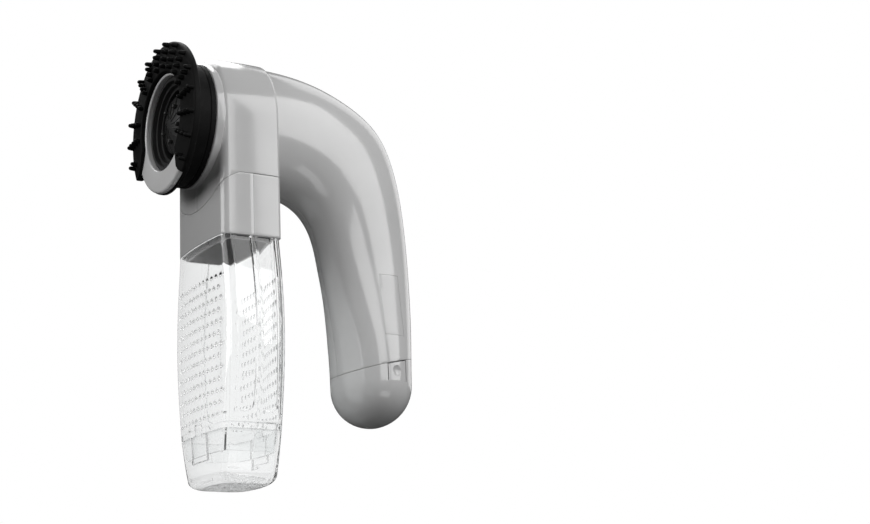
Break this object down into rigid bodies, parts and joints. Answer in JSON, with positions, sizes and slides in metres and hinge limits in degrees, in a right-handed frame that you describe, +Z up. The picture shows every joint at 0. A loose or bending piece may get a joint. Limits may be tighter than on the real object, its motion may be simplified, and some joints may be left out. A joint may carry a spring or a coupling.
{
  "type": "hand-held pet hair vacuum",
  "caption": "Hooked hand-held vacuum with a studded rubber nozzle, a clear perforated hair bin under the head and a battery handle.",
  "frame": {"origin": "centre of the bin cap's flat foot, on the plane of symmetry", "axes": "+Z up through the bin and head, -Y the way the nozzle faces, +X across the object"},
  "size_m": [0.0868, 0.1491, 0.2354],
  "materials": {
    "shell": "glossy light grey moulded ABS",
    "label": "satin grey blank label",
    "nozzle_ring": "semi-gloss mid grey",
    "rubber": "soft matt black rubber",
    "inner_black": "satin black plastic",
    "steel": "plated steel",
    "brass": "plain",
    "clear": "clear polished polycarbonate",
    "cell_wrap": "shrink sleeve",
    "lead_red": "PVC insulation"
  },
  "bodies": {
    "body": {"housing_left": "shell", "housing_right": "shell", "label_plate": "label", "neck_front": "shell", "neck_rear": "shell", "outlet_duct": "inner_black", "motor_plate": "inner_black", "motor_can": "steel", "motor_end_bell": "inner_black", "shaft_bush_front": "brass", "shaft_bush_rear": "brass", "motor_screw_1": "steel", "motor_screw_2": "steel", "cell_1": "cell_wrap", "cell_2": "cell_wrap", "cell_3": "cell_wrap", "cell_4": "cell_wrap", "contact_plate_upper": "brass", "switch_body": "inner_black", "charging_socket": "inner_black", "lead_to_switch": "lead_red", "lead_to_motor": "inner_black"},
    "nozzle": {"nozzle_tube": "nozzle_ring", "nozzle_funnel": "inner_black", "grooming_rubber": "rubber"},
    "rotor": {"impeller": "inner_black", "motor_shaft": "steel"},
    "bin": {"bin_front": "clear", "bin_rear": "clear"},
    "bin_cap": {"bin_cap": "clear"},
    "bin_latch_front": {"bin_latch_front": "clear"},
    "bin_latch_rear": {"bin_latch_rear": "clear"},
    "battery_cap": {"battery_cap": "shell", "contact_plate_lower": "brass"},
    "battery_latch_left": {"battery_latch_left": "shell"},
    "battery_latch_right": {"battery_latch_right": "shell"},
    "switch": {"switch_knob": "inner_black"}
  },
  "joints": [
    {"name": "impeller_spin", "type": "hinge", "parent": "body", "child": "rotor", "pos_m": [0, 0, 0.192], "axis": [0, -1, 0], "continuous": true},
    {"name": "nozzle_release", "type": "slide", "parent": "body", "child": "nozzle", "axis": [0, -1, 0], "range_m": [0, 0.02]},
    {"name": "bin_release", "type": "slide", "parent": "body", "child": "bin", "axis": [0, 0, -1], "range_m": [0, 0.03]},
    {"name": "bin_cap_release", "type": "slide", "parent": "bin", "child": "bin_cap", "axis": [0, 0, -1], "range_m": [0, 0.03]},
    {"name": "bin_latch_front_flex", "type": "hinge", "parent": "bin_cap", "child": "bin_latch_front", "pos_m": [0, -0.0158, 0.012], "axis": [1, 0, 0], "range_deg": [0, 8], "stiffness_Nm_per_rad": 0.15},
    {"name": "bin_latch_rear_flex", "type": "hinge", "parent": "bin_cap", "child": "bin_latch_rear", "pos_m": [0, 0.0148, 0.012], "axis": [-1, 0, 0], "range_deg": [0, 8], "stiffness_Nm_per_rad": 0.15},
    {"name": "battery_cap_release", "type": "slide", "parent": "body", "child": "battery_cap", "axis": [0, 0, -1], "range_m": [0, 0.04]},
    {"name": "battery_latch_left_press", "type": "hinge", "parent": "battery_cap", "child": "battery_latch_left", "pos_m": [-0.0228, 0.086, 0.057], "axis": [0, 1, 0], "range_deg": [0, 6], "stiffness_Nm_per_rad": 0.15},
    {"name": "battery_latch_right_press", "type": "hinge", "parent": "battery_cap", "child": "battery_latch_right", "pos_m": [0.0228, 0.086, 0.057], "axis": [0, -1, 0], "range_deg": [0, 6], "stiffness_Nm_per_rad": 0.15},
    {"name": "power_switch", "type": "slide", "parent": "body", "child": "switch", "axis": [0, 0.4384, -0.8988], "range_m": [0, 0.006]}
  ]
}
